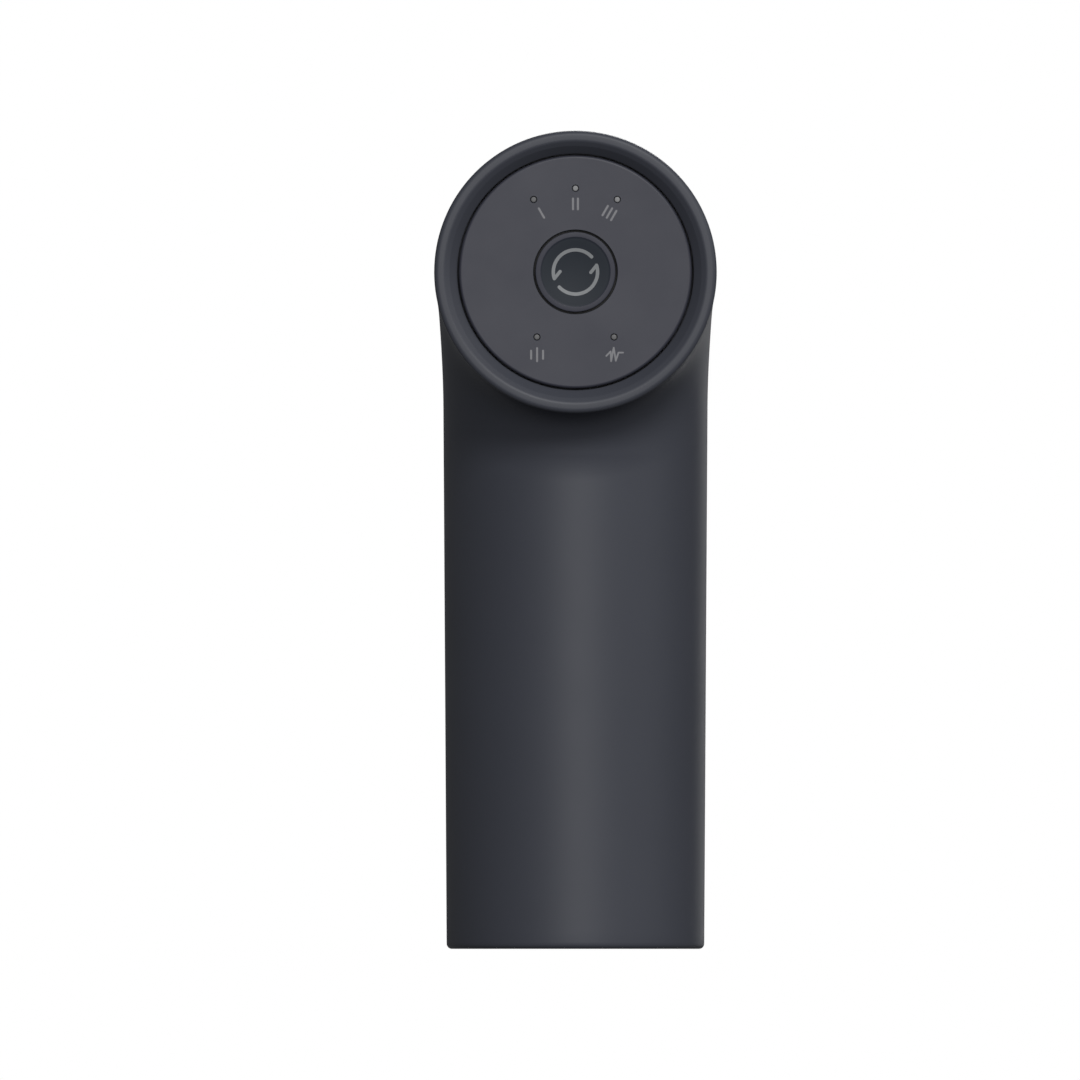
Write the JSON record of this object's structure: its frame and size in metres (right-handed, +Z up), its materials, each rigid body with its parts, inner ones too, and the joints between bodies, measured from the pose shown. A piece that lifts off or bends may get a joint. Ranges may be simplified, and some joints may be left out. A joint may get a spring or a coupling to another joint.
{
  "type": "massage gun",
  "caption": "Compact handheld percussive massage gun: short barrel on a round handle, sprung rear button, crank drive and removable soft ball head.",
  "frame": {"origin": "centre of the flat base face, on the handle's axis", "axes": "+Z up along the handle, +Y forwards along the barrel towards the massage head, +X to the right seen from behind"},
  "size_m": [0.046, 0.097, 0.1331],
  "materials": {
    "housing": "soft-touch charcoal, very fine grain",
    "black_plastic": "fine moulded texture",
    "seal_rubber": "matte rubber",
    "cover": "satin charcoal",
    "light_pipe": "frosted clear",
    "button": "satin charcoal",
    "board": "green solder mask",
    "chip": "moulded black epoxy",
    "lamp": "LED package",
    "connector": "natural nylon",
    "screw": "zinc plated",
    "shell_steel": "drawn steel",
    "holder": "black ABS",
    "cell": "blue heat-shrink sleeve over a cell",
    "nickel": "nickel strip",
    "lead": "silicone insulation",
    "casting": "turned aluminium",
    "lamination": "stacked laminations",
    "winding": "enamelled copper",
    "magnet": "nickel-plated magnet",
    "steel": "ground steel",
    "bronze": "sintered bronze",
    "frame": "glass-filled nylon",
    "ball": "dense EVA foam, matte"
  },
  "bodies": {
    "housing": {"main_housing": "housing", "nose_cap": "black_plastic", "nose_seal": "seal_rubber", "rear_cover": "cover", "light_pipes": "light_pipe", "tact_switch": "shell_steel", "control_board": "board", "board_chips": "chip", "status_leds": "lamp", "board_screws": "screw", "lead_connector": "connector", "base_cap": "black_plastic", "base_screws": "screw", "usb_receptacle": "shell_steel", "charge_board": "board", "charge_chips": "chip", "cell_holder_lower": "holder", "battery_cells": "cell", "cell_links": "nickel", "cell_holder_upper": "holder", "battery_leads": "lead", "motor_leads": "lead", "motor_flange": "casting", "motor_stator": "lamination", "motor_windings": "winding", "motor_bearings": "steel", "motor_screws": "screw", "drive_frame": "frame", "frame_cover": "frame", "frame_cover_screws": "screw", "frame_screws": "screw", "isolator_ring": "seal_rubber", "front_bushing": "bronze", "rear_bushing": "bronze"},
    "button": {"power_button": "button", "switch_stem": "black_plastic"},
    "rotor": {"motor_bell": "steel", "motor_magnets": "magnet", "motor_shaft": "steel", "crank_disc": "steel", "crank_pin": "steel", "pin_clip": "screw"},
    "slider": {"pin_bearing": "steel", "slider_block": "bronze"},
    "piston": {"yoke": "steel", "piston_rod": "casting", "guide_rod": "steel"},
    "massage_head": {"head_stem": "black_plastic", "head_ball": "ball", "head_o_ring": "seal_rubber"}
  },
  "joints": [
    {"name": "rotor_turn", "type": "hinge", "parent": "housing", "child": "rotor", "pos_m": [0, 0, 0.1], "axis": [0, 0, 1], "range_deg": [-90, 90]},
    {"name": "slider_turn", "type": "hinge", "parent": "rotor", "child": "slider", "pos_m": [0.0035, 0, 0.1101], "axis": [0, 0, 1], "range_deg": [-90, 90]},
    {"name": "piston_slide", "type": "slide", "parent": "housing", "child": "piston", "axis": [0, 1, 0], "range_m": [-0.0035, 0.0035]},
    {"name": "button_press", "type": "slide", "parent": "housing", "child": "button", "axis": [0, 1, 0], "range_m": [0, 0.0006], "stiffness_N_per_m": 2500, "springref_m": -0.0001},
    {"name": "head_pull", "type": "slide", "parent": "piston", "child": "massage_head", "axis": [0, 1, 0], "range_m": [0, 0.018]}
  ],
  "couplings": [
    {"joint": "slider_turn", "follows": "rotor_turn", "ratio": -1},
    {"joint": "piston_slide", "follows": "rotor_turn", "m_per_rad": 0.0022282}
  ]
}
